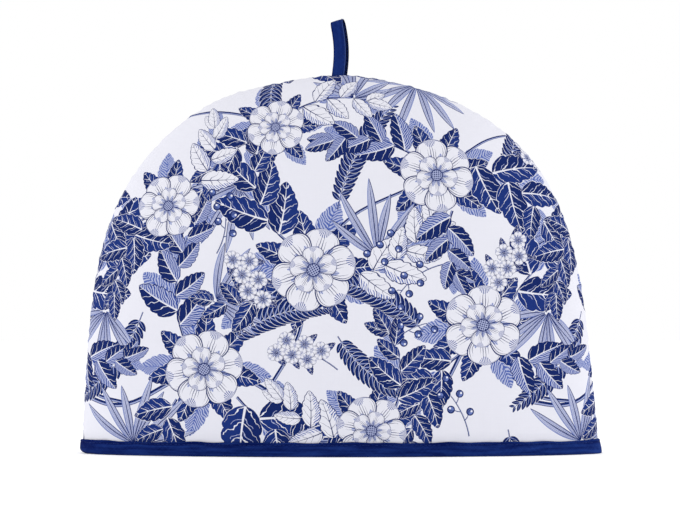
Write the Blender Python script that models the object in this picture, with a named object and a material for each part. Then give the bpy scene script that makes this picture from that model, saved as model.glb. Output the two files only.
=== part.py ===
# A tea cosy: two wadded D-shaped panels sewn together round the arch, a bound hem and a hanging loop.
# Metres, +Z up, the front towards -Y. The origin is on the table, under the middle of the hem.
import math

import bpy
import numpy as np

# Driving dimensions of the body
HEM_WIDTH = 0.345  # across the panels at the hem
HEM_DEPTH = 0.104  # front to back at the hem
BODY_HEIGHT = 0.252  # table to the top of the arch
SIDE_TAPER = 0.0736  # how far each side leans in, for each metre of height
ARCH_LEAN = 0.002  # how far the middle of the arch leans to -X
OUTLINE_POWER = 4.46  # squareness of the arch seen from the front
PROFILE_POWER = 2.4  # squareness of the arch seen from the side

# Panels
WALL = 0.005  # wadded thickness
PINCHED_WALL = 0.004  # thickness inside the binding
PINCH = 0.0006  # how far the binding draws the panel's face in
SEAM_GROOVE = 0.0015  # how far the arch seam draws the two faces in
SEAM_ROLL = 0.003  # distance from the seam over which the faces roll into it
UPRIGHT = 0.02  # height over which the faces straighten up to the level cut edge
DENT = 0.0016  # depth of the soft hollows of the standing cloth
DENT_WIDTH = 0.15
DENT_HEIGHT = 0.19
DENT_START = (0.15, -0.22)  # where the hollows begin, in their own widths and heights
DENT_FREE = 0.06  # height above which they reach their full depth
GAP = 0.0003  # between pieces that touch

# Binding
BINDING_HEIGHT = 0.0095
TAPE = 0.001  # thickness of the folded tape
BINDING_ROUND = 0.0022  # radius of the binding's lower fold

# Hanging loop
LOOP_WIDTH = 0.0082
LOOP_TOP = 0.2876  # table to the middle of the loop's fold
LOOP_SPREAD = 0.0078  # between the middles of the two legs, where they are furthest apart
LOOP_FOOT_X = -0.001
LOOP_TOP_X = -0.0022
LOOP_BULGE = 0.0016  # how far the legs bow to +X on their way up
LOOP_BACK_SHIFT = 0.002  # how far the back leg stands to +X of the front one
LOOP_FOLD_TILT = math.radians(14.0)  # the fold's rise towards +X
LOOP_TAIL = 0.0038  # length of each tail inside the seam
LOOP_EDGE = 0.0003  # rounding of the tape's edges
LOOP_PARTING = 0.55  # share of the legs' height over which they part
NOTCH_FADE = 0.0016  # beside the tails, where the seam closes again

# Fineness
GRID_COLUMNS = 11  # on each side of the loop
GRID_ROWS = 14
RING_ANGLES = (64.2, 71.0, 77.5, 83.0, 86.6, 88.6, 89.5, 90.0)  # from the grid's edge to the seam, in degrees
HEM_ROWS = (0.0, 1.1, 1.7, 2.6)  # rows just above the hem, in binding heights
ROUND_ANGLES = (0.0, 30.0, 60.0, 90.0)  # round the binding's lower fold, in degrees
LOOP_STEPS = 44
FOLD_SHARE = 0.2  # share of the loop's steps that turn its fold

PANEL_FOOT = TAPE + GAP
ARCH_TOP = BODY_HEIGHT - SEAM_GROOVE
SETBACK = TAPE + 3 * GAP / 2  # of each panel's seam face from the middle, beside the loop's tails
NOTCH_FLAT = LOOP_WIDTH / 2 + LOOP_BACK_SHIFT / 2 + 2 * GAP
NOTCH_END = NOTCH_FLAT + NOTCH_FADE
TAIL_Y = (TAPE + GAP) / 2


def clear_scene():
    for old in list(bpy.data.objects):
        bpy.data.objects.remove(old, do_unlink=True)


def make_material(name, colour, roughness):
    material = bpy.data.materials.new(name)
    material.use_nodes = True
    shader = material.node_tree.nodes["Principled BSDF"]
    shader.inputs["Base Color"].default_value = (*colour, 1.0)
    shader.inputs["Roughness"].default_value = roughness
    shader.inputs["Metallic"].default_value = 0.0
    return material


def make_object(name, points, faces, material):
    mesh = bpy.data.meshes.new(name)
    mesh.from_pydata([tuple(map(float, point)) for point in points], [], faces)
    mesh.validate()
    mesh.materials.append(material)
    mesh.shade_smooth()
    mesh.set_sharp_from_angle(angle=math.radians(50.0))
    body = bpy.data.objects.new(name, mesh)
    bpy.context.scene.collection.objects.link(body)
    return body


def ease(value):
    """0 below 0, 1 above 1, and smooth between."""
    value = np.clip(value, 0.0, 1.0)
    return value * value * (3.0 - 2.0 * value)


def depth_ratio(rise):
    """How much of the outline's roundness the side profile keeps at this share of the height."""
    rise = np.clip(rise, 0.0, 1.0 - 1e-6)
    return (1.0 - rise**PROFILE_POWER) / (1.0 - rise**OUTLINE_POWER)


def half_width(height):
    return HEM_WIDTH / 2 - SIDE_TAPER * height


def lean(height):
    return ARCH_LEAN * np.sin(math.pi * height / BODY_HEIGHT)


def dome_point(across, up):
    """A point of the front's outer face, from its place on the unit half disc."""
    height = BODY_HEIGHT * up ** (2.0 / OUTLINE_POWER)
    x = half_width(height) * across - lean(height)
    inside = np.clip(1.0 - across**2 - up**2, 0.0, 1.0)
    y = -HEM_DEPTH / 2 * np.sqrt(inside * depth_ratio(height / BODY_HEIGHT))
    return np.stack([x, y, height], -1)


def dome_field(points):
    """1 on the dome's outer face, less inside it."""
    x, y, height = points[..., 0], points[..., 1], np.clip(points[..., 2], 0.0, None)
    across = (x + lean(height)) / half_width(height)
    deep = y / (HEM_DEPTH / 2)
    return across**2 + (height / BODY_HEIGHT) ** OUTLINE_POWER + deep**2 / depth_ratio(height / BODY_HEIGHT)


def dome_normal(points):
    step = 1e-5
    sides = [dome_field(points + step * axis) - dome_field(points - step * axis) for axis in np.eye(3)]
    slope = np.stack(sides, -1)
    slope[..., 2] *= ease(points[..., 2] / UPRIGHT)
    return slope / np.linalg.norm(slope, axis=-1, keepdims=True)


def half_disc(fractions_across, fractions_up):
    """Places on the unit half disc for a square grid, its rows level at the hem."""
    u, v = np.meshgrid(fractions_across, fractions_up ** (OUTLINE_POWER / 2.0))
    return u * np.sqrt(1.0 - v**2 / 2.0), v * np.sqrt(1.0 - u**2 / 2.0)


def panel_fractions():
    """Grid lines of a panel: more beside the loop's notch and above the binding."""
    top_scale = math.sqrt(0.5) * half_width(BODY_HEIGHT)
    left_end, left_flat, right_flat, right_end = (
        (LOOP_FOOT_X + side) / top_scale for side in (-NOTCH_END, -NOTCH_FLAT, NOTCH_FLAT, NOTCH_END)
    )
    across = np.concatenate(
        [
            np.linspace(-1.0, left_end, GRID_COLUMNS + 1),
            [left_flat, right_flat],
            np.linspace(right_end, 1.0, GRID_COLUMNS + 1),
        ]
    )
    near_hem = BINDING_HEIGHT / BODY_HEIGHT * np.array(HEM_ROWS)
    up = np.concatenate([near_hem, np.linspace(near_hem[-1], 1.0, GRID_ROWS + 1)[1:]])
    return across, up


def panel_places():
    """Half-disc places of a panel's grid and rings, and the quads between them."""
    across, up = panel_fractions()
    grid_across, grid_up = half_disc(across, up)
    columns, rows = len(across), len(up)
    number = np.arange(rows * columns).reshape(rows, columns)
    faces = [
        (number[j, i], number[j, i + 1], number[j + 1, i + 1], number[j + 1, i])
        for j in range(rows - 1)
        for i in range(columns - 1)
    ]
    border = [*number[:-1, 0], *number[-1, :], *number[-2::-1, -1]]  # up the left, over, down the right
    places = np.stack([grid_across, grid_up], -1).reshape(-1, 2)
    edge = places[border]
    places = places * math.sin(math.radians(RING_ANGLES[0]))
    rings = [border]
    for angle in RING_ANGLES[1:]:
        start = len(places)
        places = np.concatenate([places, edge * math.sin(math.radians(angle))])
        rings.append(list(range(start, start + len(border))))
    for inner, outer in zip(rings, rings[1:]):
        for k in range(len(border) - 1):
            faces.append((inner[k], inner[k + 1], outer[k + 1], outer[k]))
    hem = [ring[0] for ring in reversed(rings)] + list(number[0, 1:-1]) + [ring[-1] for ring in rings]
    return places, faces, rings[-1], hem


def under_binding(height):
    """1 inside the binding and 0 from half as high again."""
    return 1.0 - ease((height - BINDING_HEIGHT) / (BINDING_HEIGHT / 2))


def dents(base):
    x, height = base[:, 0], base[:, 2]
    wave = np.sin(2 * math.pi * (x / DENT_WIDTH + DENT_START[0]))
    wave *= np.sin(2 * math.pi * (height / DENT_HEIGHT + DENT_START[1]))
    clear_of_edges = ease(-base[:, 1] / (HEM_DEPTH / 3)) * ease(height / DENT_FREE)
    return DENT / 2 * (1.0 - wave) * clear_of_edges


def notch(x):
    """1 beside the loop's tails and 0 clear of them."""
    away = np.abs(x - LOOP_FOOT_X)
    return 1.0 - np.clip((away - NOTCH_FLAT) / (NOTCH_END - NOTCH_FLAT), 0.0, 1.0)


def panel_faces(places):
    """Outer and inner points of the front panel for these half-disc places."""
    base = dome_point(places[:, 0], places[:, 1])
    normal = dome_normal(base)
    height = base[:, 2]
    squeezed = under_binding(height)
    from_seam = -base[:, 1]
    near_seam = np.clip(1.0 - from_seam / SEAM_ROLL, 0.0, 1.0) ** 2 * (1.0 - squeezed)
    sunk = dents(base) + PINCH * squeezed + SEAM_GROOVE * near_seam
    wall = WALL + (PINCHED_WALL - WALL) * squeezed
    outer = base - normal * sunk[:, None]
    inner = base - normal * (dents(base) + PINCH * squeezed + wall)[:, None]
    at_tails = notch(base[:, 0]) * (height > BODY_HEIGHT / 2) * np.exp(-from_seam / SEAM_ROLL)
    for points in (outer, inner):
        points[:, 1] -= GAP / 2 + (SETBACK - GAP / 2) * at_tails
        points[:, 2] = PANEL_FOOT + points[:, 2] * (1.0 - PANEL_FOOT / BODY_HEIGHT)
    return outer, inner


def add_panel(name, material, back):
    places, faces, rim, hem = panel_places()
    outer, inner = panel_faces(places)
    points = np.concatenate([outer, inner])
    count = len(outer)
    solid = [tuple(int(n) for n in face) for face in faces]
    solid += [tuple(int(n) + count for n in reversed(face)) for face in faces]
    for a, b in zip(rim, rim[1:]):
        solid.append((int(a), int(b), int(b) + count, int(a) + count))
    for a, b in zip(hem, hem[1:]):
        solid.append((int(a), int(a) + count, int(b) + count, int(b)))
    if back:
        points = points * np.array([1.0, -1.0, 1.0])
        solid = [tuple(reversed(face)) for face in solid]
    return make_object(name, points, solid, material)


def hem_ring():
    """Half-disc places right round the hem, with -1 for the front and 1 for the back."""
    places, _, _, hem = panel_places()
    front = [places[n][0] for n in hem]
    return [(across, -1.0) for across in front] + [(across, 1.0) for across in reversed(front[1:-1])]


def binding_section():
    """The folded tape's outline: how far out of the panel's face, and how high."""
    out_face = TAPE + GAP - PINCH
    slot_out = GAP - PINCH
    slot_in = -PINCH - PINCHED_WALL - GAP
    in_face = slot_in - TAPE
    turns = [math.radians(angle) for angle in ROUND_ANGLES]
    fold = [(BINDING_ROUND * (1.0 - math.cos(a)), BINDING_ROUND * (1.0 - math.sin(a))) for a in turns]
    return [
        (out_face, BINDING_HEIGHT),
        *[(out_face - inward, height) for inward, height in fold],
        *[(in_face + inward, height) for inward, height in reversed(fold)],
        (in_face, BINDING_HEIGHT),
        (slot_in, BINDING_HEIGHT),
        (slot_in, TAPE),
        (slot_out, TAPE),
        (slot_out, BINDING_HEIGHT),
    ]


def add_binding(name, material):
    section = binding_section()
    points = []
    stations = hem_ring()
    for across, side in stations:
        for out, height in section:
            above_foot = max(height - PANEL_FOOT, 0.0)
            up = (above_foot / BODY_HEIGHT) ** (OUTLINE_POWER / 2)
            base = dome_point(np.array([across]), np.array([up]))
            normal = dome_normal(base)[0]
            level = normal * np.array([1.0, 1.0, 0.0])
            level /= np.linalg.norm(level)
            x, y, _ = base[0] + out * level
            points.append((x, -side * y, height))
    faces = []
    size = len(section)
    for station in range(len(stations)):
        here, there = station * size, (station + 1) % len(stations) * size
        for k in range(size):
            after = (k + 1) % size
            faces.append((here + k, here + after, there + after, there + k))
    return make_object(name, points, faces, material)


def loop_path():
    """Points, width and thickness directions along the tape, from the front tail to the back one."""
    leg_top = LOOP_TOP - LOOP_SPREAD / 2
    foot = ARCH_TOP - LOOP_TAIL
    rows = []
    for step in range(LOOP_STEPS + 1):
        travel = 2.0 * step / LOOP_STEPS - 1.0  # -1 front tail, 0 fold, 1 back tail
        side = math.copysign(1.0, travel)
        share = (1.0 - abs(travel)) / (1.0 - FOLD_SHARE)  # 0 at the tail's end, 1 where the fold begins
        if share < 1.0:
            height = foot + (leg_top - foot) * share
            opening = ease((height - ARCH_TOP - TAPE) / (LOOP_PARTING * (leg_top - ARCH_TOP)))
            y = side * (TAIL_Y + (LOOP_SPREAD / 2 - TAIL_Y) * opening)
            leg = side  # -1 in the front leg, 1 in the back one
        else:
            turn = (share - 1.0) * (1.0 - FOLD_SHARE) / FOLD_SHARE * math.pi / 2
            height = leg_top + LOOP_SPREAD / 2 * math.sin(turn)
            leg = side * math.cos(turn)
            y = leg * LOOP_SPREAD / 2
        climb = np.clip((height - ARCH_TOP) / (LOOP_TOP - ARCH_TOP), 0.0, 1.0)
        x = LOOP_FOOT_X + (LOOP_TOP_X - LOOP_FOOT_X) * climb**2 + LOOP_BULGE * math.sin(math.pi * climb)
        x += leg * LOOP_BACK_SHIFT / 2
        rows.append((x, y, height, LOOP_FOLD_TILT * climb**3))
    rows = np.array(rows)
    middle = rows[:, :3]
    along = np.gradient(middle, axis=0)
    along /= np.linalg.norm(along, axis=1, keepdims=True)
    width = np.stack([np.cos(rows[:, 3]), np.zeros(len(rows)), np.sin(rows[:, 3])], -1)
    width -= along * np.sum(along * width, axis=1, keepdims=True)
    width /= np.linalg.norm(width, axis=1, keepdims=True)
    return middle, width, np.cross(along, width)


def tape_section():
    """The tape's cross-section, its edges rounded: across and through."""
    half, thick = LOOP_WIDTH / 2, TAPE / 2
    return [
        (half - LOOP_EDGE, -thick),
        (half, -thick + LOOP_EDGE),
        (half, thick - LOOP_EDGE),
        (half - LOOP_EDGE, thick),
        (LOOP_EDGE - half, thick),
        (-half, thick - LOOP_EDGE),
        (-half, -thick + LOOP_EDGE),
        (LOOP_EDGE - half, -thick),
    ]


def add_loop(name, material):
    middle, width, through = loop_path()
    section = tape_section()
    size = len(section)
    points = [m + a * w + b * t for m, w, t in zip(middle, width, through) for a, b in section]
    faces = [
        (row * size + k, row * size + (k + 1) % size, (row + 1) * size + (k + 1) % size, (row + 1) * size + k)
        for row in range(len(middle) - 1)
        for k in range(size)
    ]
    faces.append(tuple(reversed(range(size))))
    faces.append(tuple(range((len(middle) - 1) * size, len(middle) * size)))
    return make_object(name, points, faces, material)


def main():
    clear_scene()
    print_cotton = make_material("printed_cotton", (0.78, 0.77, 0.86), 0.85)
    binding_cotton = make_material("binding_cotton", (0.016, 0.034, 0.165), 0.8)
    add_panel("front_panel", print_cotton, back=False)
    add_panel("back_panel", print_cotton, back=True)
    add_binding("hem_binding", binding_cotton)
    add_loop("hanging_loop", binding_cotton)


main()
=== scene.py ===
# A tea cosy dressed: two printed wadded panels, their plain lining, a bound hem and a hanging loop.
# Metres, +Z up, the front towards -Y. The print is drawn in millimetres on the flat cloth.
import math

import bpy
import numpy as np
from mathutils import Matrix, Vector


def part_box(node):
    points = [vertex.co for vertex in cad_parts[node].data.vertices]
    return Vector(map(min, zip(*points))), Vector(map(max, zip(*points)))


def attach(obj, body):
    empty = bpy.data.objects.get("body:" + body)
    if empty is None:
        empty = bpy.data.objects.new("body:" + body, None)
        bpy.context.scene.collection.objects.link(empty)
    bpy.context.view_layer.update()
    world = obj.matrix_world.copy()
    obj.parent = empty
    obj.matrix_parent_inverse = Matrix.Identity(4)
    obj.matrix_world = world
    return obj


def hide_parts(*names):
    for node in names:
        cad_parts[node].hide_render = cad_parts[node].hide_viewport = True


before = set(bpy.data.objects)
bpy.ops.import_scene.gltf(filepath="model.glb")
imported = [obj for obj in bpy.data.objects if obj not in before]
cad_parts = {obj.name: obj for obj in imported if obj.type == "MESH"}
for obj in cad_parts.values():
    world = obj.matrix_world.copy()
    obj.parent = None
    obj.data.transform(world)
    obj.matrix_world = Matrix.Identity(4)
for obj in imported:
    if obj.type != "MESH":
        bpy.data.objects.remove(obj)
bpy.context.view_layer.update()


# shader graphs

def operator(operation, reflected=False):
    def apply(value, *others):
        terms = (*others, value) if reflected else (value, *others)
        return value.graph.maths(operation, *terms)

    return apply


class Value:  # wraps a shader socket, so that sums on it add Math nodes
    __add__, __radd__ = operator("ADD"), operator("ADD", True)
    __sub__, __rsub__ = operator("SUBTRACT"), operator("SUBTRACT", True)
    __mul__, __rmul__ = operator("MULTIPLY"), operator("MULTIPLY", True)
    __truediv__, __rtruediv__ = operator("DIVIDE"), operator("DIVIDE", True)
    __pow__, __mod__ = operator("POWER"), operator("FLOORED_MODULO")
    __lt__, __gt__ = operator("LESS_THAN"), operator("GREATER_THAN")
    __abs__, __floor__, fract = operator("ABSOLUTE"), operator("FLOOR"), operator("FRACT")
    sine, cosine, root = operator("SINE"), operator("COSINE"), operator("SQRT")
    larger, pingPong = operator("MAXIMUM"), operator("PINGPONG")

    def __init__(self, graph, socket):
        self.graph = graph
        self.socket = socket

    def capped(self):  # kept between 0 and 1
        return self.graph.add("ShaderNodeClamp", {"Value": self})

    def isAbout(self, number):
        return self.graph.maths("COMPARE", self, number, 0.5)


class Graph:  # builds the nodes of one material or node group
    def __init__(self, tree):
        self.tree = tree

    def add(self, kind, inputs, output=0, **settings):
        node = self.tree.nodes.new(kind)
        for name, setting in settings.items():
            setattr(node, name, setting)
        for name, value in inputs.items():
            if isinstance(value, Value):
                self.tree.links.new(value.socket, node.inputs[name])
            else:
                node.inputs[name].default_value = value
        return Value(self, node.outputs[output])

    def maths(self, operation, *terms):
        return self.add("ShaderNodeMath", dict(enumerate(terms)), operation=operation)

    def split(self, vector):
        node = self.tree.nodes.new("ShaderNodeSeparateXYZ")
        self.tree.links.new(vector.socket, node.inputs[0])
        return [Value(self, output) for output in node.outputs]

    def join(self, x, y, z=0.0):
        return self.add("ShaderNodeCombineXYZ", {"X": x, "Y": y, "Z": z})

    def clothPlace(self):  # millimetres on the flat cloth
        return self.add("ShaderNodeUVMap", {}, uv_map="cloth")

    def noise(self, place, scale, detail=2.0):
        inputs = {"Vector": place, "Scale": scale, "Detail": detail}
        return self.add("ShaderNodeTexNoise", inputs, noise_dimensions="2D")

    def mixColours(self, share, first, second):
        return self.add("ShaderNodeMix", {"Factor": share, 6: first, 7: second}, 2, data_type="RGBA")

    def ramp(self, share, stops):
        made = self.add("ShaderNodeValToRGB", {"Fac": share})
        elements = made.socket.node.color_ramp.elements
        while len(elements) < len(stops):
            elements.new(1.0)
        for element, (place, colour) in zip(elements, stops):
            element.position = place
            element.color = colour
        return made

    def bump(self, height, strength, distance):
        return self.add("ShaderNodeBump", {"Height": height, "Strength": strength, "Distance": distance})


def paint(red, green, blue):  # a screen colour, 0 to 255, as the shader's linear one
    shares = np.array([red, green, blue]) / 255.0
    linear = np.where(shares <= 0.04045, shares / 12.92, ((shares + 0.055) / 1.055) ** 2.4)
    return (*(float(share) for share in linear), 1.0)


def newMaterial(name, sheen, sheenRoughness, specular):
    material = bpy.data.materials.new(name)
    material.use_nodes = True
    shader = material.node_tree.nodes["Principled BSDF"]
    names = ("Metallic", "Sheen Weight", "Sheen Roughness", "Specular IOR Level")
    for socket, value in zip(names, (0.0, sheen, sheenRoughness, specular)):
        shader.inputs[socket].default_value = value
    return material, Graph(material.node_tree), shader


def connect(graph, shader, colour, roughness, height, strength, distance):
    normal = graph.bump(height, strength, distance)
    for name, value in (("Base Color", colour), ("Roughness", roughness), ("Normal", normal)):
        graph.tree.links.new(value.socket, shader.inputs[name])


def newTree(name, kind, sockets, made):  # an empty node group and what its inputs give
    tree = bpy.data.node_groups.new(name, kind)
    for socket, form in sockets:
        tree.interface.new_socket(socket, in_out="INPUT", socket_type="NodeSocket" + form)
    tree.interface.new_socket("Made", in_out="OUTPUT", socket_type="NodeSocket" + made)
    graph = Graph(tree)
    given = tree.nodes.new("NodeGroupInput")
    return graph, [Value(graph, given.outputs[socket]) for socket, form in sockets]


def closeTree(graph, value):
    result = graph.tree.nodes.new("NodeGroupOutput")
    graph.tree.links.new(value.socket, result.inputs[0])
    return graph.tree


# sums that several pieces share

def ease(value):
    value = np.clip(value, 0.0, 1.0)
    return value * value * (3.0 - 2.0 * value)


def ripple(along, lengths, seed):  # an uneven wave between about -1 and 1
    rng = np.random.default_rng(seed)
    total = sum(np.sin(2 * math.pi * along / length + rng.uniform(0, 2 * math.pi)) for length in lengths)
    return total / math.sqrt(len(lengths))


def unit(vectors):
    return vectors / np.linalg.norm(vectors, axis=-1, keepdims=True)


def alongPath(points):  # how far along a path each of its points lies
    return np.concatenate([[0.0], np.cumsum(np.linalg.norm(np.diff(points, axis=0), axis=1))])


# the print: flowers, leaf sprays, ferns, tufts and berries, drawn in millimetres on a repeat of the cloth

printSettings = {
    "repeatWidth": 300.0,
    "repeatHeight": 270.0,
    "seed": 11,
    "layers": 6,  # motifs that may lie over each other in one small face
    "margin": 0.4,  # millimetres round each motif
    "shapes": {  # where a motif is widest, in steps of skew, and how full it is, in tenths
        "stem": (3, 0),
        "disc": (3, 5),
        "petal": (7, 6),
        "broad": (1, 7),
        "leaflet": (2, 8),
        "slim": (2, 9),
        "blade": (3, 8),
    },
    "styles": ["dark", "shade", "petal", "outlined", "small", "berry", "halved", "centre", "blade", "stem"],
    "skewStart": 0.55,
    "skewStep": 0.15,
    "veins": 4.6,  # pairs on each leaf
    "lobes": 0.13,  # how far a leaf's edge draws in between its veins
    "veinHalf": 0.034,  # as a share of the way from one vein to the next
    "boldVeinHalf": 0.048,  # the light ones on the dark leaves
    "ribHalf": 0.042,  # as a share of the leaf's half width
    "boldRibHalf": 0.052,
    "leafTurn": 1.05,  # radians from a stem to the leaves at its foot
    # half widths at the foot and at the tip
    "stems": {"spray": (0.9, 0.3), "fern": (0.45, 0.2), "sprig": (0.45, 0.3), "stalk": (0.35, 0.3)},
    "stemMargin": 1.5,
    "carried": {"berries": 2.6, "florets": 5.6},  # radius of what a sprig carries
}

# x, y, radius, turn in radians
blossomRows = [
    (62, 74, 25, 0.2),
    (172, 34, 22, 0.9),
    (246, 104, 26, 0.5),
    (134, 140, 27, 1.3),
    (36, 184, 21, 0.0),
    (216, 206, 24, 0.7),
    (108, 238, 19, 0.4),
]
# way points, half width at the foot and at the tip
lowVine = [(-24, 52), (10, 50), (62, 74), (104, 60), (130, 30), (172, 34), (214, 56), (246, 104)]
vineRows = [
    ([*lowVine, (276, 60), (310, 50)], 1.5, 1.2),
    ([(104, 60), (124, 96), (134, 140), (160, 176), (216, 206), (252, 232), (300, 246)], 1.2, 0.8),
    ([(0, 246), (52, 250), (108, 238), (92, 206), (36, 184), (-18, 158)], 1.1, 0.8),
    ([(246, 104), (262, 142), (282, 158)], 1.0, 0.8),
]
# x, y, heading in degrees, length, curl in radians, leaves, leaf length, leaf half width, style, shape
sprayRows = [
    (84, 56, -50, 84, 0.9, 7, 44, 14.0, "dark", "broad"),
    (48, 96, 110, 78, -0.9, 8, 33, 10.0, "halved", "broad"),
    (116, 160, 140, 66, -1.1, 6, 40, 12.5, "dark", "broad"),
    (158, 136, 10, 70, 0.9, 8, 33, 9.6, "outlined", "broad"),
    (230, 84, 215, 70, 0.9, 8, 30, 9.0, "dark", "broad"),
    (266, 120, 60, 82, -0.7, 6, 46, 14.5, "dark", "broad"),
    (200, 220, 150, 56, 0.8, 7, 30, 8.6, "halved", "broad"),
    (152, 28, 165, 48, -0.7, 6, 28, 8.0, "outlined", "broad"),
    (236, 214, -10, 70, -0.9, 6, 42, 13.0, "dark", "broad"),
    (22, 172, 215, 56, 1.0, 7, 30, 9.0, "dark", "broad"),
    (188, 50, 70, 52, 0.9, 6, 29, 8.4, "dark", "broad"),
    (94, 228, 200, 52, 0.9, 7, 29, 8.6, "dark", "slim"),
    (44, 54, 235, 56, 0.9, 7, 30, 8.8, "dark", "slim"),
    (122, 250, 30, 50, -0.8, 6, 28, 8.0, "outlined", "slim"),
    (56, 196, 50, 44, 0.9, 6, 26, 7.4, "outlined", "broad"),
    (226, 182, -110, 44, 0.8, 6, 28, 8.0, "halved", "broad"),
    (106, 122, 205, 40, -0.7, 5, 26, 7.6, "dark", "broad"),
    (266, 84, -30, 44, 0.9, 6, 28, 8.2, "halved", "broad"),
]
# x, y, heading in degrees, length, curl, pairs of leaflets, leaflet length, leaflet half width
fernRows = [
    (80, 92, 45, 70, -0.9, 19, 11, 2.6),
    (206, 100, 130, 74, 0.8, 20, 11, 2.6),
    (20, 112, 250, 84, -0.7, 20, 11, 2.6),
    (150, 180, 80, 84, -0.6, 20, 10, 2.4),
    (262, 34, -80, 66, 0.9, 18, 10, 2.4),
    (268, 186, 100, 74, -0.9, 19, 10, 2.4),
    (108, 18, 250, 62, 0.9, 16, 10, 2.4),
    (150, 96, -60, 60, 0.7, 16, 10, 2.4),
]
# x, y, heading in degrees, length, spread in radians, blades, blade half width
tuftRows = [
    (206, 6, 262, 50, 1.5, 8, 2.9),
    (14, 24, 80, 52, 1.3, 7, 3.0),
    (176, 150, 78, 54, 1.2, 7, 3.0),
    (84, 196, 245, 46, 1.2, 6, 2.8),
    (292, 112, 250, 48, 1.3, 7, 2.9),
    (70, 120, 20, 44, 1.3, 6, 2.8),
    (160, 258, 85, 44, 1.4, 7, 2.8),
]
# x, y, heading in degrees, length, curl, count, what they carry
sprigRows = [
    (96, 104, 80, 44, 0.8, 6, "florets"),
    (222, 146, 190, 42, 0.9, 6, "berries"),
    (288, 166, 200, 44, 0.7, 6, "florets"),
    (70, 150, 60, 40, 0.9, 6, "berries"),
    (180, 84, 60, 36, -0.8, 5, "berries"),
    (288, 262, 250, 42, 0.7, 6, "florets"),
    (236, 30, 100, 36, 0.6, 5, "berries"),
    (150, 74, 140, 40, 0.6, 6, "florets"),
    (20, 232, 100, 40, 0.7, 6, "florets"),
    (196, 176, 250, 34, -0.6, 5, "berries"),
]


def motifCode(style, shape):  # style, skew and fullness in one whole number
    skew, full = printSettings["shapes"][shape]
    return printSettings["styles"].index(style) + 16 * skew + 128 * full


def stepFrom(x, y, heading, along, across=0.0):
    c, s = math.cos(heading), math.sin(heading)
    return x + along * c - across * s, y + along * s + across * c


def smoothPath(points, steps=10):  # a smooth curve through way points
    ends = np.array(points, float)
    knots = np.concatenate([2 * ends[:1] - ends[1:2], ends, 2 * ends[-1:] - ends[-2:-1]])
    curve = []
    for a, b, c, d in zip(knots, knots[1:], knots[2:], knots[3:]):
        for u in np.arange(steps) / steps:
            bend = (2 * a - 5 * b + 4 * c - d) * u**2 + (3 * b - a - 3 * c + d) * u**3
            curve.append(b + 0.5 * ((c - a) * u + bend))
    return np.array([*curve, ends[-1]])


def pathPlace(path, share):  # point and heading at this share of a path's length
    along = alongPath(path)
    wanted = min(share, 1.0) * along[-1]
    k = min(max(int(np.searchsorted(along, wanted)) - 1, 0), len(path) - 2)
    step = path[k + 1] - path[k]
    x, y = path[k] + step * (wanted - along[k]) / (along[k + 1] - along[k])
    return x, y, math.atan2(step[1], step[0])


class PrintSheet:  # the motifs of one repeat
    def __init__(self):
        self.rng = np.random.default_rng(printSettings["seed"])
        self.leaves = []
        self.stems = []

    def stray(self, reach):
        return self.rng.uniform(-reach, reach) if reach else 0.0

    def leaf(self, layer, x, y, heading, length, half, style, shape, bend=0.0):
        self.leaves.append((layer, x, y, heading, length, half, bend, motifCode(style, shape)))

    def stem(self, path, foot, tip):
        self.stems.append((path, foot, tip))

    def curlStem(self, kind, x, y, heading, length, curl, steps=12):  # it turns by curl over its length
        points = [(x, y)]
        for k in range(steps):
            points.append(stepFrom(*points[-1], heading + curl * (k + 0.5) / steps, length / steps))
        self.stem(np.array(points), *printSettings["stems"][kind])
        return np.array(points)


# layer, count, lead and stray of the heading in radians, start, length and half width for a radius of 1,
# style, shape and stray of the bend
blossomRings = [
    (0, 4, 0.0, 0.4, 0.55, 1.25, 0.34, "shade", "slim", 0.12),
    (2, 7, math.pi / 7, 0.1, 0.5, 1.05, 0.3, "dark", "broad", 0.15),
    (4, 6, 0.0, 0.08, 0.1, 0.95, 0.46, "petal", "petal", 0.0),
    (5, 5, 0.3, 0.0, 0.03, 0.56, 0.27, "petal", "petal", 0.0),
    (6, 1, 0.0, 0.0, -0.17, 0.34, 0.17, "centre", "disc", 0.0),
]


def drawBlossom(sheet, x, y, radius, turn):
    for layer, count, lead, stray, start, length, half, style, shape, bend in blossomRings:
        for k in range(count):
            heading = turn + lead + 2 * math.pi * k / count + sheet.stray(stray)
            foot = stepFrom(x, y, heading, start * radius)
            size = length * radius, half * radius
            sheet.leaf(layer, *foot, heading, *size, style, shape, sheet.stray(bend))


def drawSpray(sheet, x, y, heading, reach, curl, count, length, half, style, shape):
    path = sheet.curlStem("spray", x, y, heading, reach, curl)
    for k, share in enumerate(np.linspace(0.1, 0.98, count)):
        side = 1 if k % 2 else -1
        x, y, heading = pathPlace(path, share)
        heading += side * (printSettings["leafTurn"] - 0.4 * share) + sheet.stray(0.22)
        size = (1.0 - 0.45 * share) * sheet.rng.uniform(0.86, 1.1)
        if k % 3 == 1:  # a pale leaf shows behind this one
            shadow = stepFrom(x, y, heading, 1.0, -3.0 * side)
            sheet.leaf(0, *shadow, heading - 0.3 * side, 1.05 * length * size, half * size, "shade", shape)
        sheet.leaf(3, x, y, heading, length * size, half * size, style, shape, -0.12 * side)
    sheet.leaf(3, *pathPlace(path, 1.0), 0.62 * length, 0.6 * half, style, shape, 0.05)


def drawFern(sheet, x, y, heading, reach, curl, count, length, half):
    path = sheet.curlStem("fern", x, y, heading, reach, curl)
    for share in np.linspace(0.08, 1.0, count):
        x, y, heading = pathPlace(path, share)
        size = math.sin(math.pi * (0.12 + 0.83 * share)) ** 0.7 + 0.12
        for side in (-1, 1):
            turned = heading + side * (printSettings["leafTurn"] - 0.3 * share)
            sheet.leaf(2, x, y, turned, length * size, half * size, "small", "leaflet", -0.1 * side)


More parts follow.
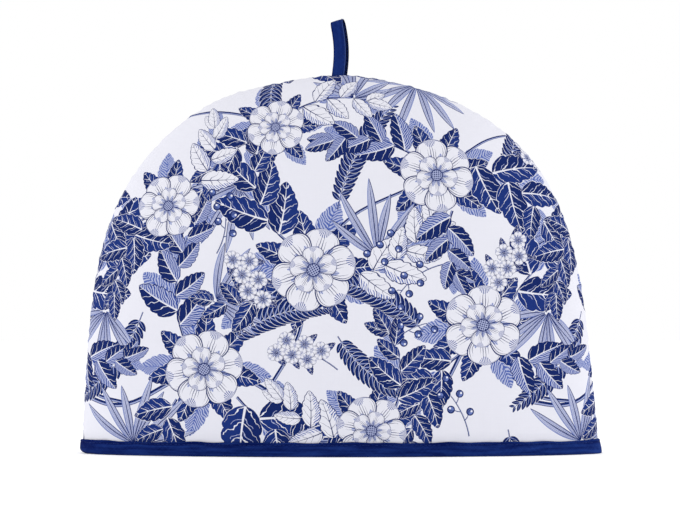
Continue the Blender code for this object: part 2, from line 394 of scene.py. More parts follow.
def drawTuft(sheet, x, y, heading, length, spread, count, half):
    for across in np.linspace(-1.0, 1.0, count):
        turned = heading + across * spread + sheet.stray(0.1)
        reach = length * (1 - 0.2 * abs(across)) * sheet.rng.uniform(0.8, 1.08)
        bend = -0.16 * across * abs(across) + sheet.stray(0.07)
        sheet.leaf(2, x, y, turned, reach, half, "blade", "blade", bend)


def drawSprig(sheet, x, y, heading, reach, curl, count, kind):
    path = sheet.curlStem("sprig", x, y, heading, reach, curl)
    berries = kind == "berries"
    radius = printSettings["carried"][kind]
    for k, share in enumerate(np.linspace(0.3, 1.0, count)):
        side = 1 if k % 2 else -1
        x, y, heading = pathPlace(path, share)
        heading += 0.9 * side
        end = stepFrom(x, y, heading, 1.8 * radius if berries else radius)
        stalk = np.array([(x, y), stepFrom(x, y, heading, radius, 0.3 * side), end])
        sheet.stem(stalk, *printSettings["stems"]["stalk"])
        eye = stepFrom(*end, heading, -0.2 * radius)
        if berries:
            sheet.leaf(4, *eye, heading, 2 * radius, radius, "berry", "disc")
            continue
        sheet.leaf(3, *end, heading + 1.3 * side, 1.9 * radius, 0.5 * radius, "dark", "broad", 0.1)
        for petal in range(5):
            turned = heading + 2 * math.pi * petal / 5
            foot = stepFrom(*end, turned, 0.1 * radius)
            sheet.leaf(4, *foot, turned, radius, 0.52 * radius, "petal", "petal")
        sheet.leaf(5, *eye, heading, 0.4 * radius, 0.2 * radius, "dark", "disc")


def drawRepeat():
    sheet = PrintSheet()
    for points, foot, tip in vineRows:
        sheet.stem(smoothPath(points), foot, tip)
    for row in blossomRows:
        drawBlossom(sheet, *row)
    drawers = (drawSpray, drawFern, drawTuft, drawSprig)
    for draw, rows in zip(drawers, (sprayRows, fernRows, tuftRows, sprigRows)):
        for x, y, degrees, *rest in rows:
            draw(sheet, x, y, math.radians(degrees), *rest)
    return sheet


class FaceStack:  # the motifs that each small face of the cloth shows, the top one last
    def __init__(self, corners):
        self.corners = corners
        self.low, self.high = corners.min(1), corners.max(1)
        self.ends = self.low.min(0), self.high.max(0)
        self.count = np.zeros(len(corners), int)
        self.rows = np.zeros((len(corners), printSettings["layers"], 4, 3), np.float32)
        self.rows[..., 1] = -1.0
        self.lost = 0

    def near(self, points, reach):  # faces that may lie within reach of these points
        low, high = points.min(0) - reach, points.max(0) + reach
        if (high < self.ends[0]).any() or (low > self.ends[1]).any():
            return np.zeros(0, int)
        return np.nonzero(((self.high > low) & (self.low < high)).all(1))[0]

    def push(self, faces, s, t, code, covered):
        self.count[faces[covered]] = 0
        self.rows[faces[covered]] = (0.0, -1.0, 0.0)
        full = faces[self.count[faces] == self.rows.shape[1]]
        self.rows[full, :-1] = self.rows[full, 1:]
        self.count[full] -= 1
        self.lost += len(full)
        self.rows[faces, self.count[faces]] = np.stack([s, t, np.full_like(s, code)], -1)
        self.count[faces] += 1

    def addLeaf(self, shift, x, y, heading, length, half, bend, code):
        origin = np.array([x, y]) + shift
        c, s = math.cos(heading), math.sin(heading)
        tip = origin + length * np.array([c, s]) + bend * length * np.array([-s, c])
        faces = self.near(np.stack([origin, tip]), half + abs(bend) * length / 4 + printSettings["margin"])
        if not len(faces):
            return
        away = self.corners[faces] - origin
        t = (away[..., 0] * c + away[..., 1] * s) / length
        s = (away[..., 1] * c - away[..., 0] * s - bend * length * t**2) / half
        p = printSettings
        tau = np.clip(t, 0.0, 1.0) ** (p["skewStart"] + p["skewStep"] * (code // 16 % 8))
        width = np.clip(4.0 * tau * (1.0 - tau), 1e-9, 1.0) ** (code // 128 / 10)
        spare = p["margin"] / half
        widest = width.max(1) + 2 * spare
        used = (s.min(1) < widest) & (s.max(1) > -widest) & (t.max(1) > 0) & (t.min(1) < 1)
        inside = (np.abs(s) < (1.0 - p["lobes"]) * width - 0.1 * spare) & (t > 0) & (t < 1)
        self.push(faces[used], s[used], t[used], code, inside[used].all(1))

    def addStem(self, shift, path, foot, tip):
        points = path + shift
        reach = max(foot, tip) + printSettings["stemMargin"]
        faces = self.near(points, reach)
        if not len(faces):
            return
        steps = np.diff(points, axis=0)
        along = alongPath(points)
        runs = np.diff(along)
        away = self.corners[faces].mean(1)[:, None] - points[None, :-1]
        share = np.clip((away * steps).sum(-1) / runs**2, 0.0, 1.0)
        distance = np.linalg.norm(away - share[..., None] * steps, axis=-1)
        close = distance.min(1) < reach
        faces, nearest = faces[close], distance.argmin(1)[close]
        direction = (steps[nearest] / runs[nearest, None])[:, None]
        away = self.corners[faces] - points[nearest][:, None]
        t = (along[nearest][:, None] + (away * direction).sum(-1)) / along[-1]
        side = direction[..., 0] * away[..., 1] - direction[..., 1] * away[..., 0]
        s = side / (foot + (tip - foot) * np.clip(t, 0.0, 1.0))
        used = (s.min(1) < 1.1) & (s.max(1) > -1.1)  # a little beyond its edges
        self.push(faces[used], s[used], t[used], motifCode("stem", "stem"), np.zeros(used.sum(), bool))


def layPrint(corners, start):  # corners of the faces on the flat cloth in millimetres, start of the repeat
    sheet = drawRepeat()
    stack = FaceStack(corners + np.array(start))
    size = np.array([printSettings["repeatWidth"], printSettings["repeatHeight"]])
    first = np.floor(stack.low.min(0) / size).astype(int) - 1
    last = np.floor(stack.high.max(0) / size).astype(int) + 2
    shifts = [np.array([i, j]) * size for i in range(first[0], last[0]) for j in range(first[1], last[1])]
    leaves = sorted(sheet.leaves, key=lambda leaf: leaf[0])
    shadows = [leaf[1:] for leaf in leaves if leaf[0] == 0]
    others = [leaf[1:] for leaf in leaves if leaf[0] > 0]
    for add, motifs in ((stack.addLeaf, shadows), (stack.addStem, sheet.stems), (stack.addLeaf, others)):
        for motif in motifs:
            for shift in shifts:
                add(shift, *motif)
    print("print laid:", len(leaves), "leaves", len(sheet.stems), "stems", stack.lost, "ends dropped")
    return stack.rows


# meshes

def gridFaces(rows, columns, wrapRows=False, wrapColumns=False):  # quads, and the grid place of each corner
    i, j = np.meshgrid(np.arange(rows - 1 + wrapRows), np.arange(columns - 1 + wrapColumns), indexing="ij")
    places = np.stack([np.stack([i + a, j + b], -1) for a, b in ((0, 0), (0, 1), (1, 1), (1, 0))], 2)
    places = places.reshape(-1, 4, 2)
    faces = places[..., 0] % rows * columns + places[..., 1] % columns
    return faces, places


def tapeCloth(places, along, across):  # millimetres along and across a tape, for each corner
    return 1000.0 * np.stack([along[places[..., 0]], across[places[..., 1]]], -1)


def storeVectors(mesh, name, domain, vectors):
    attribute = mesh.attributes.new(name, "FLOAT_VECTOR", domain)
    attribute.data.foreach_set("vector", vectors.astype(np.float32).ravel())


def addObject(name, data):
    made = bpy.data.objects.new(name, data)
    bpy.context.scene.collection.objects.link(made)
    return made


def makePiece(name, points, faces, materials, clothPlaces, faceMaterials=None, motifs=()):
    # faces are quads; clothPlaces holds each corner's place on the flat cloth
    a, b, c, d = (points[faces[:, k]] for k in range(4))
    volume = (np.cross(a, b) * c + np.cross(a, c) * d).sum()
    way = -1 if volume < 0 else 1  # turned so that the faces point outwards
    mesh = bpy.data.meshes.new(name)
    mesh.from_pydata(points.tolist(), [], faces[:, ::way].tolist())
    for material in materials:
        mesh.materials.append(material)
    if faceMaterials is not None:
        mesh.polygons.foreach_set("material_index", faceMaterials.astype(np.int32))
    clothPlaces = clothPlaces[:, ::way].astype(np.float32)
    mesh.uv_layers.new(name="cloth").data.foreach_set("uv", clothPlaces.ravel())
    for layer, rows in enumerate(motifs):
        storeVectors(mesh, f"print{layer}", "CORNER", rows[:, ::way])
    mesh.shade_smooth()
    return addObject(name, mesh)


# the cosy's outer form

bodySettings = {
    "hemWidth": 0.345,
    "hemDepth": 0.104,
    "height": 0.252,
    "sideTaper": 0.0736,  # how far each side leans in, for each metre of height
    "archLean": 0.002,
    "outlinePower": 4.46,
    "profilePower": 2.4,
    "upright": 0.02,  # height over which the faces straighten up to the level cut edge
    "bindingHeight": 0.0095,
    "tape": 0.001,
    "gap": 0.0003,
    # where the sewn arch has sunk below its even form: place across, reach, how far
    "slumps": [
        (0.085, 0.085, 0.0029),
        (0.006, 0.02, -0.0009),
        (-0.045, 0.022, 0.001),
        (-0.082, 0.02, -0.0008),
        (-0.135, 0.03, 0.0013),
    ],
    "slumpStart": 0.04,  # the height that it begins at
    "slumpRise": 0.13,
}


def halfWidth(height):
    return bodySettings["hemWidth"] / 2 - bodySettings["sideTaper"] * height


def lean(height):
    return bodySettings["archLean"] * np.sin(math.pi * height / bodySettings["height"])


def depthRatio(rise):
    rise = np.clip(rise, 0.0, 1.0 - 1e-6)
    return (1.0 - rise ** bodySettings["profilePower"]) / (1.0 - rise ** bodySettings["outlinePower"])


def slump(x, height):
    s = bodySettings
    sunk = sum(depth * np.exp(-(((x - place) / reach) ** 2)) for place, reach, depth in s["slumps"])
    return sunk * ease((height - s["slumpStart"]) / s["slumpRise"])


def domePoint(across, up):  # a point of the front's face, from its place on the unit half disc
    height = bodySettings["height"] * up ** (2.0 / bodySettings["outlinePower"])
    x = halfWidth(height) * across - lean(height)
    inside = np.clip(1.0 - across**2 - up**2, 0.0, 1.0)
    y = -bodySettings["hemDepth"] / 2 * np.sqrt(inside * depthRatio(height / bodySettings["height"]))
    return np.stack([x, y, height], -1)


def domeDepth(x, height):  # how far the front's face stands out from the middle here
    across = (x + lean(height)) / halfWidth(height)
    rise = np.clip(height / bodySettings["height"], 0.0, 1.0)
    inside = np.clip(1.0 - across**2 - rise ** bodySettings["outlinePower"], 0.0, 1.0)
    return bodySettings["hemDepth"] / 2 * np.sqrt(inside * depthRatio(rise))


def domeField(points):  # 1 on the face, less inside it
    x, y, height = points[..., 0], points[..., 1], np.clip(points[..., 2], 0.0, None)
    across = (x + lean(height)) / halfWidth(height)
    rise = height / bodySettings["height"]
    deep = y / (bodySettings["hemDepth"] / 2)
    return across**2 + rise ** bodySettings["outlinePower"] + deep**2 / depthRatio(rise)


def domeNormal(points):
    step = 1e-5
    slopes = [domeField(points + step * axis) - domeField(points - step * axis) for axis in np.eye(3)]
    slope = np.stack(slopes, -1)
    slope[..., 2] *= ease(points[..., 2] / bodySettings["upright"])
    return unit(slope)


# the two printed panels

panelSettings = {
    "columns": 184,
    "rows": 128,
    "rings": 22,
    "ringStart": math.radians(64.2),
    "ringCrowding": 1.5,  # how the rings crowd towards the seam
    "wall": 0.005,
    "pinchedWall": 0.004,
    "pinch": 0.0006,
    "seamGroove": 0.0015,
    "seamRoll": 0.003,
    "dent": 0.0016,
    "dentWidth": 0.15,
    "dentHeight": 0.19,
    "dentStart": (0.15, -0.22),
    "dentFree": 0.06,
    "seamSteps": 720,
    "puckerDepth": 0.00042,
    "puckerReach": 0.006,
    "puckerStart": 0.0012,  # clear of the seam itself
    "puckerLengths": (0.0061, 0.0083, 0.0117, 0.019),
    "puffDepth": 0.0005,  # the wadding stands out just above the binding
    "puffHeight": 0.016,
    "hemRipple": 0.00022,
    "hemRippleLengths": (0.011, 0.0163, 0.027, 0.041),
    "creases": 0.00035,
    "creaseSlants": (0.35, -0.2),  # of the two waves that cross
    "creaseLengths": ((0.047, 0.071, 0.113), (0.052, 0.083, 0.121)),
    "creaseFromSeam": 0.02,
    "puffFromSeam": 0.01,
    "puffFall": 2.2,  # how fast it dies away upwards
    "innerShare": 0.6,  # how much of all this shows inside
    "tailFade": 0.0016,  # beside the loop's tails
    "clothMiddle": 0.1,  # height from which the flat cloth is smoothed outwards
    "smoothingSteps": 24,
    "printStart": {"front_panel": (152.0, 18.0), "back_panel": (287.0, 131.0)},
    "seed": 5,
}


def panelPlaces():  # places on the unit half disc, faces, the seam's rim and the lower edge
    s = panelSettings
    across, up = np.linspace(-1.0, 1.0, s["columns"] + 1), np.linspace(0.0, 1.0, s["rows"] + 1)
    u, v = np.meshgrid(across, up ** (bodySettings["outlinePower"] / 2.0))
    places = np.stack([u * np.sqrt(1.0 - v**2 / 2.0), v * np.sqrt(1.0 - u**2 / 2.0)], -1).reshape(-1, 2)
    faces = [gridFaces(*u.shape)[0]]
    number = np.arange(u.size).reshape(u.shape)
    rings = [np.concatenate([number[:-1, 0], number[-1, :], number[-2::-1, -1]])]
    edge = places[rings[0]]
    places = places * math.sin(s["ringStart"])
    for share in np.linspace(1.0, 0.0, s["rings"] + 1)[1:] ** s["ringCrowding"]:
        inner, outer = rings[-1], len(places) + np.arange(len(edge))
        places = np.concatenate([places, edge * math.sin(math.acos(share * math.cos(s["ringStart"])))])
        faces.append(np.stack([inner[:-1], inner[1:], outer[1:], outer[:-1]], -1))
        rings.append(outer)
    hem = [*(ring[0] for ring in rings[::-1]), *number[0, 1:-1], *(ring[-1] for ring in rings)]
    return places, np.concatenate(faces), outer, np.array(hem)


def seamLength(places):  # how far along the arch's seam each place lies
    turn = np.linspace(0.0, math.pi, panelSettings["seamSteps"] + 1)
    along = alongPath(domePoint(np.cos(turn), np.sin(turn)))
    return np.interp(np.arctan2(places[:, 1], places[:, 0]), turn, along)


def panelSurfaces(places, seed):
    s = panelSettings
    base = domePoint(places[:, 0], places[:, 1])
    normal = domeNormal(base)
    x, height, fromSeam = base[:, 0], base[:, 2], -base[:, 1]
    binding = bodySettings["bindingHeight"]
    squeezed = 1.0 - ease((height - binding) / (binding / 2))
    free = 1.0 - squeezed
    wave = np.sin(2 * math.pi * (x / s["dentWidth"] + s["dentStart"][0]))
    wave *= np.sin(2 * math.pi * (height / s["dentHeight"] + s["dentStart"][1]))
    dents = s["dent"] / 2 * (1.0 - wave)
    dents *= ease(fromSeam / (bodySettings["hemDepth"] / 3)) * ease(height / s["dentFree"])
    nearSeam = np.clip(1.0 - fromSeam / s["seamRoll"], 0.0, 1.0) ** 2 * free
    wall = s["wall"] + (s["pinchedWall"] - s["wall"]) * squeezed
    puckers = s["puckerDepth"] * ripple(seamLength(places), s["puckerLengths"], seed)
    puckers *= np.exp(-fromSeam / s["puckerReach"]) * free * ease(fromSeam / s["puckerStart"])
    aboveHem = np.clip((height - binding) / s["puffHeight"], 0, 9)
    puff = aboveHem * np.exp(1.0 - s["puffFall"] * aboveHem)
    puff = puff * (s["puffDepth"] + s["hemRipple"] * ripple(x, s["hemRippleLengths"], seed + 1))
    soft = s["creases"] * ease(fromSeam / s["creaseFromSeam"]) * free
    ways = (x + s["creaseSlants"][0] * height, height + s["creaseSlants"][1] * x)
    for k, way in enumerate(ways):
        soft = soft * ripple(way, s["creaseLengths"][k], seed + 2 + k)
    raised = (puckers + puff * ease(fromSeam / s["puffFromSeam"]) + soft)[:, None]
    sunk = dents + s["pinch"] * squeezed
    outer = base - normal * (sunk + s["seamGroove"] * nearSeam)[:, None] + normal * raised
    inner = base - normal * (sunk + wall)[:, None] + s["innerShare"] * normal * raised
    low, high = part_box("hanging_loop")
    away = np.abs(x - (low.x + high.x) / 2) - (high.x - low.x) / 2
    atTails = 1.0 - np.clip(away / s["tailFade"], 0.0, 1.0)  # beside the loop's tails
    atTails = atTails * (height > bodySettings["height"] / 2) * np.exp(-fromSeam / s["seamRoll"])
    setback = bodySettings["tape"] + 3 * bodySettings["gap"] / 2
    foot = bodySettings["tape"] + bodySettings["gap"]
    for points in (outer, inner):
        points[:, 1] -= setback * atTails
        points[:, 2] = foot + points[:, 2] * (1.0 - foot / bodySettings["height"])
        points[:, 2] -= slump(points[:, 0], points[:, 2])
    return base, outer, inner


def flatCloth(base):  # places on the flat cloth in millimetres, smoothed outwards along the surface
    s = panelSettings
    x, height = base[:, 0], base[:, 2]
    shares = 1.0 - (1.0 - np.linspace(0.0, 1.0, s["smoothingSteps"])) ** 2
    lineX = x[:, None] * shares
    lineHeight = s["clothMiddle"] + (height - s["clothMiddle"])[:, None] * shares
    lineDepth = domeDepth(lineX, lineHeight)
    steps = np.diff(np.stack([lineX, lineHeight, lineDepth], -1), axis=1)
    length = np.linalg.norm(steps, axis=-1).sum(1)
    straight = np.hypot(x, height - s["clothMiddle"])
    stretch = np.where(straight > 1e-6, length / np.maximum(straight, 1e-6), 1.0)
    return 1000.0 * np.stack([x * stretch, (height - s["clothMiddle"]) * stretch + s["clothMiddle"]], -1)


def addPanel(name, materials, back):
    places, quads, rim, hem = panelPlaces()
    base, outer, inner = panelSurfaces(places, panelSettings["seed"] + 10 * back)
    cloth = flatCloth(base)
    count = len(outer)
    rimFaces = np.stack([rim[:-1], rim[1:], rim[1:] + count, rim[:-1] + count], -1)
    hemFaces = np.stack([hem[:-1], hem[:-1] + count, hem[1:] + count, hem[1:]], -1)
    faces = np.concatenate([quads, quads[:, ::-1] + count, rimFaces, hemFaces])
    points = np.concatenate([outer, inner])
    if back:
        points = points * np.array([1.0, -1.0, 1.0])
        cloth = cloth * np.array([-1.0, 1.0])
        faces = faces[:, ::-1]
    clothPlaces = np.concatenate([cloth, cloth])[faces]
    motifs = np.zeros((len(faces), printSettings["layers"], 4, 3), np.float32)
    motifs[..., 1] = -1.0
    motifs[: len(quads)] = layPrint(clothPlaces[: len(quads)], panelSettings["printStart"][name])
    plain = np.arange(len(faces)) >= len(quads)
    size = np.ptp(cloth, axis=0) / 1000.0
    corner = cloth[quads] / 1000.0
    a, b = (corner[:, k + 2] - corner[:, k] for k in (0, 1))
    area = float(np.abs(a[:, 0] * b[:, 1] - a[:, 1] * b[:, 0]).sum() / 2)
    print(name, "flat cut", np.round(size, 4), "area", round(area, 5))
    piece = makePiece(name + "_cloth", points, faces, materials, clothPlaces, plain, motifs.swapaxes(0, 1))
    return piece, size, area


# the bound hem

bindingSettings = {
    "ringSteps": 4000,
    "stations": 600,
    "faceSteps": 14,
    "roundSteps": 6,
    "round": 0.0022,
    "roundMore": 0.0016,  # at the left end
    "roundLess": 0.0011,  # at the right end
    "flare": 0.0008,  # at the right end
    "crown": 0.00022,
    "stitchDrop": 0.0017,  # below the top edge
    "stitchSink": 0.00022,
    "stitchDimple": 0.4,  # how far that varies from stitch to stitch
    "stitchPitch": 0.0029,
    "stitchHalf": 0.0005,
    "stitchSteps": 900,
    "stitchWander": 0.00012,
    "stitchLengths": (0.013, 0.029, 0.051),
    "endStart": 0.93,  # where the ends begin, as a share of the half width
    "endRun": 0.06,
    "edgeRows": 1.6,  # rows that the top edge rounds over
    "edgeWander": 0.0003,
    "edgeLengths": (0.021, 0.034, 0.057, 0.09),
    "wrinkle": 0.0002,
    "wrinkleSlant": 0.7,
    "wrinkleLengths": (0.0047, 0.0069, 0.0113, 0.019),
    "joinStep": 0.00045,  # where one end laps over the other
    "joinLength": 0.012,
    "joinSlant": 0.3,
    "joinRise": 0.0009,
    "joinFall": 0.0012,
    "seed": 21,
    "tone": 0.08,
    "mottle": 1.2,
    "lines": [(1.7, 0.9, -0.4)],  # painted shade along the stitch groove: millimetres across the tape, half width, change of tone
    "paintedHighlights": [],
    "paintedLightBand": (378.0, 130.0, 0.24),  # the same along it, painted light that makes the right end paler
    "shade": 0.7,  # painted shade inside the hem, between these millimetres across
    "shadeFrom": 25.0,
    "shadeTo": 60.0,
}


def hemRing(count):  # even steps round the hem: the turn, the distance along and the whole length
    turn = np.linspace(0.0, 2 * math.pi, bindingSettings["ringSteps"] + 1)
    x, y = bodySettings["hemWidth"] / 2 * np.cos(turn), bodySettings["hemDepth"] / 2 * np.sin(turn)
    along = alongPath(np.stack([x, y], -1))
    stations = np.linspace(0.0, along[-1], count, endpoint=False)
    return np.interp(stations, along, turn), stations, along[-1]


def onHem(turn, out, height):  # a point outside the panel's face at this height, and the way out
    foot = bodySettings["tape"] + bodySettings["gap"]
    above = np.clip(height - foot, 0.0, None)
    rise = above / bodySettings["height"]
    base = domePoint(-np.cos(turn), rise ** (bodySettings["outlinePower"] / 2))
    base[..., 1] = -np.sin(turn) * bodySettings["hemDepth"] / 2 * np.sqrt(depthRatio(rise))
    level = unit(domeNormal(base) * np.array([1.0, 1.0, 0.0]))
    point = base + out[..., None] * level
    point[..., 2] = height
    return point, level


def tapeFaces():  # how far out these lie: the tape's outer face, the slot's two walls and the inner face
    body, panel = bodySettings, panelSettings
    slotOut = body["gap"] - panel["pinch"]
    slotIn = -panel["pinch"] - panel["pinchedWall"] - body["gap"]
    return slotOut + body["tape"], slotOut, slotIn, slotIn - body["tape"]


def bindingRows():  # the folded tape's outline at each station: how far along, how far out and how high
    s, body = bindingSettings, bodySettings
    turn, along, total = hemRing(s["stations"])
    x = -np.cos(turn)
    leftEnd, rightEnd = (ease((side * x - s["endStart"]) / s["endRun"]) for side in (-1, 1))
    radius = s["round"] + s["roundMore"] * leftEnd - s["roundLess"] * rightEnd
    outFace, slotOut, slotIn, inFace = tapeFaces()
    top = body["bindingHeight"] + s["edgeWander"] * ripple(along, s["edgeLengths"], s["seed"])
    edge = body["tape"] / 3

    def faceRow(face, side, share):
        rounded = edge * max(0.0, 1.0 - share * s["faceSteps"] / s["edgeRows"]) ** 2
        return face - side * rounded + 0 * radius, top + (radius - top) * share, side

    def roundRow(face, side, angle):
        return face - side * radius * (1 - math.cos(angle)), radius * (1 - math.sin(angle)), side

    def slotRow(out, height):
        return out + 0 * radius, height + 0 * radius, 0.0

    shares = np.linspace(0.0, 1.0, s["faceSteps"])
    turns = np.linspace(0.0, math.pi / 2, s["roundSteps"] + 1)
    rows = [faceRow(outFace, 1.0, share) for share in shares]
    rows += [roundRow(outFace, 1.0, angle) for angle in turns[1:]]
    rows += [roundRow(inFace, -1.0, angle) for angle in turns[::-1]]
    rows += [faceRow(inFace, -1.0, share) for share in shares[-2::-1]]
    slotTop = top - edge / 2
    rows += [slotRow(slotIn, slotTop), slotRow(slotIn, body["tape"])]
    rows += [slotRow(slotOut, body["tape"]), slotRow(slotOut, slotTop)]
    out, height = (np.stack([row[k] for row in rows], 1) for k in (0, 1))
    side = np.array([row[2] for row in rows])
    u = along[:, None] + 0 * out
    rise = height / body["bindingHeight"]
    atStitch = np.exp(-(((height - body["bindingHeight"] + s["stitchDrop"]) / s["stitchHalf"]) ** 2))
    dimple = 1.0 - s["stitchDimple"] * (1.0 - np.cos(2 * math.pi * u / s["stitchPitch"]))
    raised = s["crown"] * np.sin(math.pi * np.clip(rise, 0, 1)) - s["stitchSink"] * atStitch * dimple
    wrinkles = ripple(u + s["wrinkleSlant"] * height, s["wrinkleLengths"], s["seed"] + 1)
    raised += s["wrinkle"] * wrinkles * (0.3 + rise)
    raised += s["flare"] * rightEnd[:, None] * (1.0 - rise)
    lap = (u + s["joinLength"] / 3) % total
    beyond = (lap - s["joinLength"] + s["joinSlant"] * height) / s["joinFall"]
    overlap = ease(lap / s["joinRise"]) * (1.0 - ease(beyond))
    raised += s["joinStep"] * overlap * ease(rise * 4)
    return turn, u, total, out + side * raised, height


def addBinding(name, material):
    turn, u, total, out, height = bindingRows()
    points, _ = onHem(turn[:, None] + 0 * out, out, height)
    faces, places = gridFaces(*out.shape, True, True)
    steps = np.hypot(np.diff(out, axis=1, append=out[:, :1]), np.diff(height, axis=1, append=height[:, :1]))
    across = np.concatenate([[0.0], np.cumsum(steps.mean(0))])
    cloth = tapeCloth(places, np.append(u[:, 0], total), across)
    return makePiece(name, points.reshape(-1, 3), faces, [material], cloth)


def stitchLine(inside):  # the path of the edge stitching, and the way out of the cloth
    s = bindingSettings
    turn, along, _ = hemRing(s["stitchSteps"])
    height = bodySettings["bindingHeight"] - s["stitchDrop"]
    height = height + s["stitchWander"] * ripple(along, s["stitchLengths"], s["seed"] + 5)
    out = tapeFaces()[-1 if inside else 0] + 0 * turn
    points, level = onHem(turn, out, height)
    return points, -level if inside else level


# the hanging loop

loopSettings = {
    "width": 0.0082,
    "top": 0.2876,
    "spread": 0.0078,
    "footX": -0.001,
    "topX": -0.0022,
    "bulge": 0.0016,
    "backShift": 0.002,
    "foldTilt": math.radians(18.0),
    "tail": 0.0038,
    "parting": 0.55,
    "foldShare": 0.2,
    "steps": 180,
    "across": 22,
    "edge": 0.00042,
    "crown": 0.00012,
    "stitchIn": 0.0012,  # from the tape's open edge
    "stitchPitch": 0.0026,
    "stitchSink": 0.00016,
    "stitchHalf": 0.0004,
    "stitchStart": 0.0006,  # above the seam
    "stitchClear": 0.00004,  # how far the thread stands off the tape
    "ripple": 0.00013,
    "rippleLengths": (0.0043, 0.0071, 0.0123),
    "seed": 31,
    "tone": 0.2,
    "mottle": 0.5,
    # painted shade along the folded left edge of the tape's face
    "lines": [(8.2, 0.9, -0.5)],
    "paintedHighlights": [(0.6, 0.42, 0.62)],  # the same, a painted highlight along the folded right edge
    "paintedLightBand": (0.0, 24.0, 0.5),  # painted light, paler where it comes out of the seam
    "shade": 0.9,  # painted shade on the inner face, from here across the tape
    "shadeFrom": 8.7,
    "shadeTo": 60.0,
}


def loopPath():  # the tape's middle, the ways of its width and thickness, and the distance along it
    s = loopSettings
    archTop = bodySettings["height"] - panelSettings["seamGroove"]
    legTop = s["top"] - s["spread"] / 2
    foot = archTop - s["tail"]
    tailY = (bodySettings["tape"] + bodySettings["gap"]) / 2
    travel = np.linspace(-1.0, 1.0, s["steps"] + 1)
    side = np.where(travel < 0, -1.0, 1.0)
    share = (1.0 - np.abs(travel)) / (1.0 - s["foldShare"])
    turn = np.clip((share - 1.0) * (1.0 - s["foldShare"]) / s["foldShare"], 0.0, 1.0) * math.pi / 2
    legHeight = foot + (legTop - foot) * np.minimum(share, 1.0)
    opening = ease((legHeight - archTop - bodySettings["tape"]) / (s["parting"] * (legTop - archTop)))
    legY = tailY + (s["spread"] / 2 - tailY) * opening
    y = side * np.where(share < 1.0, legY, s["spread"] / 2 * np.cos(turn))
    height = np.where(share < 1.0, legHeight, legTop + s["spread"] / 2 * np.sin(turn))
    climb = np.clip((height - archTop) / (s["top"] - archTop), 0.0, 1.0)
    x = s["footX"] + (s["topX"] - s["footX"]) * climb**2 + s["bulge"] * np.sin(math.pi * climb)
    x = x + side * np.cos(turn) * s["backShift"] / 2
    tilt = s["foldTilt"] * climb**3
    middle = np.stack([x, y, height], -1)
    along = unit(np.gradient(middle, axis=0))
    width = np.stack([np.cos(tilt), 0 * tilt, np.sin(tilt)], -1)
    width = unit(width - along * (along * width).sum(1, keepdims=True))
    return middle, width, np.cross(along, width), alongPath(middle)


def addLoop(name, material):
    s = loopSettings
    middle, width, through, run = loopPath()
    half, thick = s["width"] / 2, bodySettings["tape"] / 2
    turn = np.linspace(0.0, math.pi, s["across"])  # crowded towards the rounded edges
    a = half * np.cos(turn)
    edge = np.clip((half - np.abs(a)) / s["edge"], 0.0, 1.0)
    rounded = thick * (0.25 + 0.75 * np.sqrt(1.0 - (1.0 - edge) ** 2))
    crown = s["crown"] * np.cos(math.pi * a / s["width"]) ** 2
    groove = s["stitchSink"] * np.exp(-(((half - a - s["stitchIn"]) / s["stitchHalf"]) ** 2))
    out = rounded + crown - groove
    ring = np.stack([np.concatenate([a, a[::-1]]), np.concatenate([-out, out[::-1]])], -1)
    acrossTape, deep = ring[:, :1], ring[:, 1:]
    wave = s["ripple"] * ripple(run, s["rippleLengths"], s["seed"])[:, None, None]
    deep = deep + wave * acrossTape / half
    points = middle[:, None] + width[:, None] * acrossTape + through[:, None] * deep
    rows, around = points.shape[:2]
    faces, places = gridFaces(rows, around, False, True)
    cloth = tapeCloth(places, run, alongPath(np.concatenate([ring, ring[:1]])))
    k = np.arange(s["across"] - 1)
    cap = np.stack([k, k + 1, around - 2 - k, around - 1 - k], -1)
    faces = np.concatenate([faces, cap[:, ::-1], cap + (rows - 1) * around])
    cloth = np.concatenate([cloth, np.zeros((2 * len(cap), 4, 2))])
    return makePiece(name, points.reshape(-1, 3), faces, [material], cloth)


def loopStitchLine(outside):  # along the tape's open edge, on its outer or inner side
    s = loopSettings
    middle, width, through, _ = loopPath()
    shown = middle[:, 2] > bodySettings["height"] + s["stitchStart"]
    way = -through if outside else through
    points = middle + width * (s["width"] / 2 - s["stitchIn"])
    points = points + way * (bodySettings["tape"] / 2 + s["stitchClear"])
    return points[shown], way[shown]


# stitches, laid along a path by Geometry Nodes

stitchSettings = {
    "hem": {"Length": 0.0023, "Thread": 0.00016, "Rise": 0.00032, "Wander": 0.06, "Seed": 3},
    "loop": {"Length": 0.002, "Thread": 0.00014, "Rise": 0.00032, "Wander": 0.06, "Seed": 8},
}


